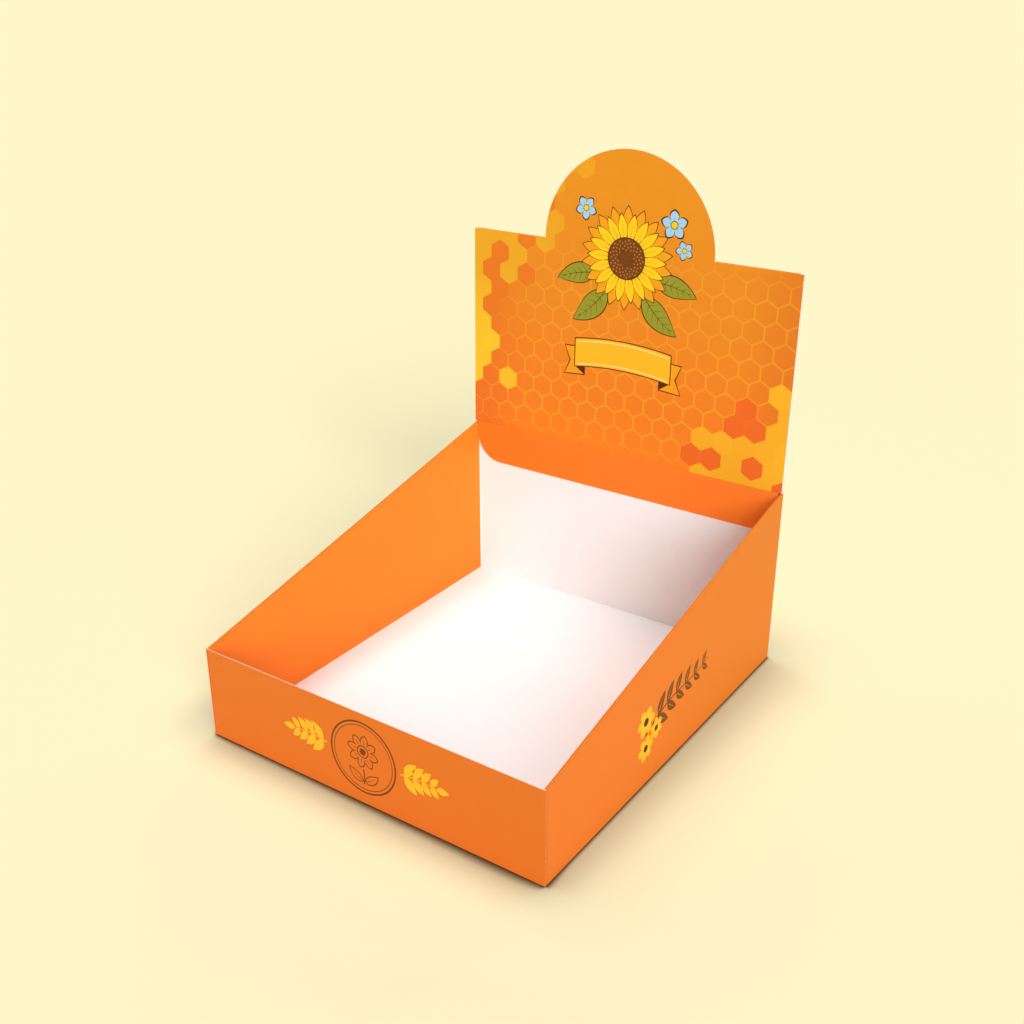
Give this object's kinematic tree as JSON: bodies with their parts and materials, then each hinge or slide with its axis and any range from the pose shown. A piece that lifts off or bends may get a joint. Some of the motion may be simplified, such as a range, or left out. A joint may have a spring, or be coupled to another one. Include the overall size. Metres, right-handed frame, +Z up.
{
  "type": "counter display box",
  "caption": "Folded board counter display tray with sloping double side walls and a fold-over lid that stands up as a header with a round crown.",
  "frame": {"origin": "middle of the tray's underside, where it rests on the counter", "axes": "+Z up, +Y to the back where the header stands, +X to the right seen from the front"},
  "size_m": [0.24, 0.2754, 0.3235],
  "materials": {
    "orange_board": "coated board, printed orange outside and white inside, satin",
    "white_board": "plain white inside of the board, matte",
    "header_print": "coated board, printed orange to yellow with a honeycomb pattern, satin"
  },
  "bodies": {
    "tray": {"base_panel": "white_board", "front_wall": "orange_board", "back_wall": "orange_board", "side_outer_left": "orange_board", "side_outer_right": "orange_board", "side_spine_left": "orange_board", "side_spine_right": "orange_board", "side_inner_left": "orange_board", "side_inner_right": "orange_board", "front_flap_left": "white_board", "front_flap_right": "white_board", "back_flap_left": "white_board", "back_flap_right": "white_board"},
    "lid_back": {"header_back": "orange_board"},
    "lid_front": {"header_front": "header_print"},
    "lid_flap": {"tuck_flap": "orange_board"}
  },
  "joints": [
    {"name": "lid_fold", "type": "hinge", "parent": "tray", "child": "lid_back", "pos_m": [0, 0.1372, 0.1215], "axis": [1, 0, 0], "range_deg": [0, 102.5]},
    {"name": "header_fold", "type": "hinge", "parent": "lid_back", "child": "lid_front", "pos_m": [0, 0.1369, 0.26152], "axis": [1, 0, 0], "range_deg": [-179.1, 0]},
    {"name": "tuck_fold", "type": "hinge", "parent": "lid_front", "child": "lid_flap", "pos_m": [0, 0.1344, 0.12152], "axis": [1, 0, 0], "range_deg": [0, 72.49]}
  ],
  "couplings": [
    {"joint": "header_fold", "follows": "lid_fold", "ratio": -1.7474},
    {"joint": "tuck_fold", "follows": "lid_fold", "ratio": 0.70728}
  ]
}
